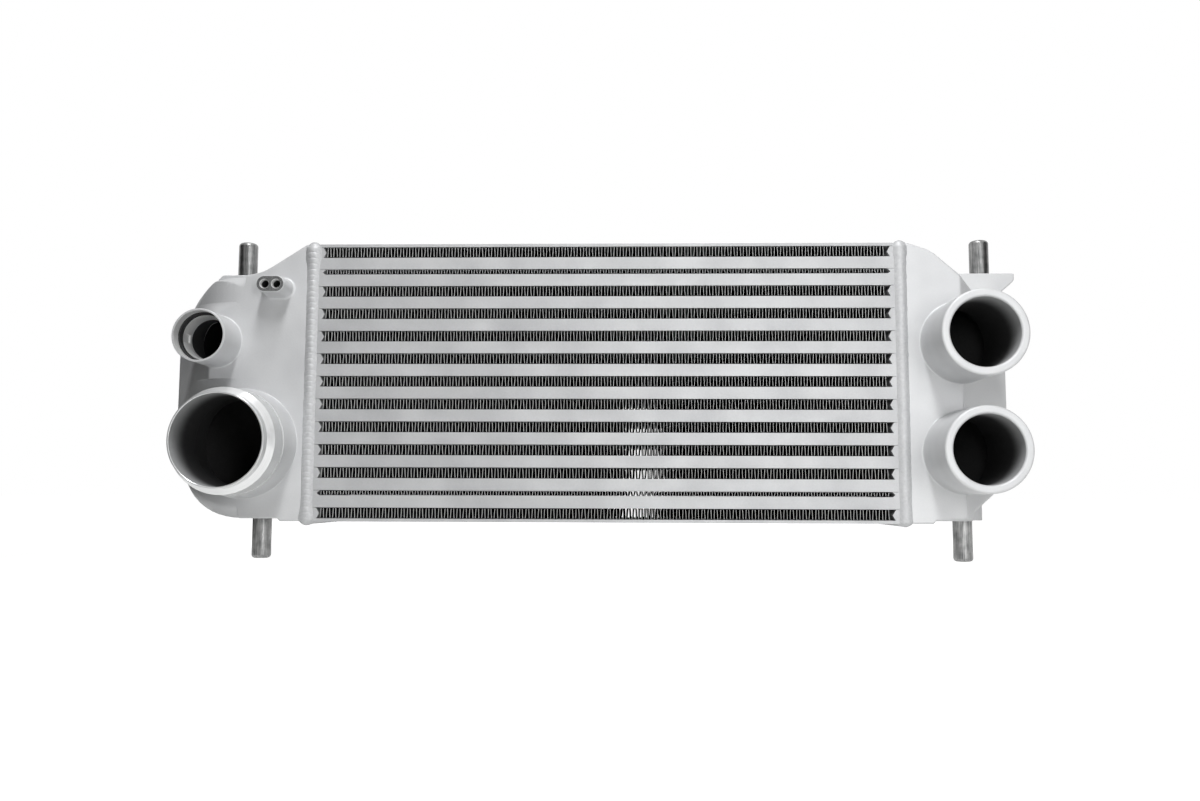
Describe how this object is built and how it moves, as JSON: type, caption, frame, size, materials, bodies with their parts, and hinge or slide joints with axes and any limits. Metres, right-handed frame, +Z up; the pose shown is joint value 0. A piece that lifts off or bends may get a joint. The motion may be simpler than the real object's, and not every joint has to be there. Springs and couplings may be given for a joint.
{
  "type": "intercooler",
  "caption": "Bar-and-plate charge air cooler: a brazed core of finned rows between two cast end tanks, with hose necks facing forward and mounting pins above and below.",
  "frame": {"origin": "centre of the core's bottom side plate, on its underside, midway along its length and its depth", "axes": "+X to the right along the core, +Y to the back (hose necks point along -Y), +Z up, as the part hangs on its pins"},
  "size_m": [0.7149, 0.148, 0.274],
  "materials": {
    "core_coating": "fine matt silver coating over brazed sheet and bar",
    "cast_tank": "sand-cast aluminium under a matt silver coating",
    "weld_bead": "rippled weld under the same matt silver coating",
    "fin_foil": "thin rolled foil, folded and brazed",
    "turbulator_foil": "thin rolled foil, folded and brazed",
    "turned_aluminium": "bare, fine turned",
    "pin_steel": "turned and plated, drawn along its length"
  },
  "bodies": {
    "root": {"top_side_plate": "core_coating", "ambient_fins_01": "fin_foil", "charge_tube_01": "core_coating", "turbulator_01": "turbulator_foil", "ambient_fins_02": "fin_foil", "charge_tube_02": "core_coating", "turbulator_02": "turbulator_foil", "ambient_fins_03": "fin_foil", "charge_tube_03": "core_coating", "turbulator_03": "turbulator_foil", "ambient_fins_04": "fin_foil", "charge_tube_04": "core_coating", "turbulator_04": "turbulator_foil", "ambient_fins_05": "fin_foil", "charge_tube_05": "core_coating", "turbulator_05": "turbulator_foil", "ambient_fins_06": "fin_foil", "charge_tube_06": "core_coating", "turbulator_06": "turbulator_foil", "ambient_fins_07": "fin_foil", "charge_tube_07": "core_coating", "turbulator_07": "turbulator_foil", "ambient_fins_08": "fin_foil", "charge_tube_08": "core_coating", "turbulator_08": "turbulator_foil", "ambient_fins_09": "fin_foil", "charge_tube_09": "core_coating", "turbulator_09": "turbulator_foil", "ambient_fins_10": "fin_foil", "charge_tube_10": "core_coating", "turbulator_10": "turbulator_foil", "ambient_fins_11": "fin_foil", "charge_tube_11": "core_coating", "turbulator_11": "turbulator_foil", "ambient_fins_12": "fin_foil", "charge_tube_12": "core_coating", "turbulator_12": "turbulator_foil", "ambient_fins_13": "fin_foil", "bottom_side_plate": "core_coating", "left_tank": "cast_tank", "right_tank": "cast_tank", "left_weld_bead": "weld_bead", "right_weld_bead": "weld_bead", "outlet_adaptor": "turned_aluminium", "bypass_port_bush": "turned_aluminium", "upper_left_pin": "pin_steel", "upper_right_pin": "pin_steel", "lower_left_pin": "pin_steel", "lower_right_pin": "pin_steel"}
  },
  "joints": []
}
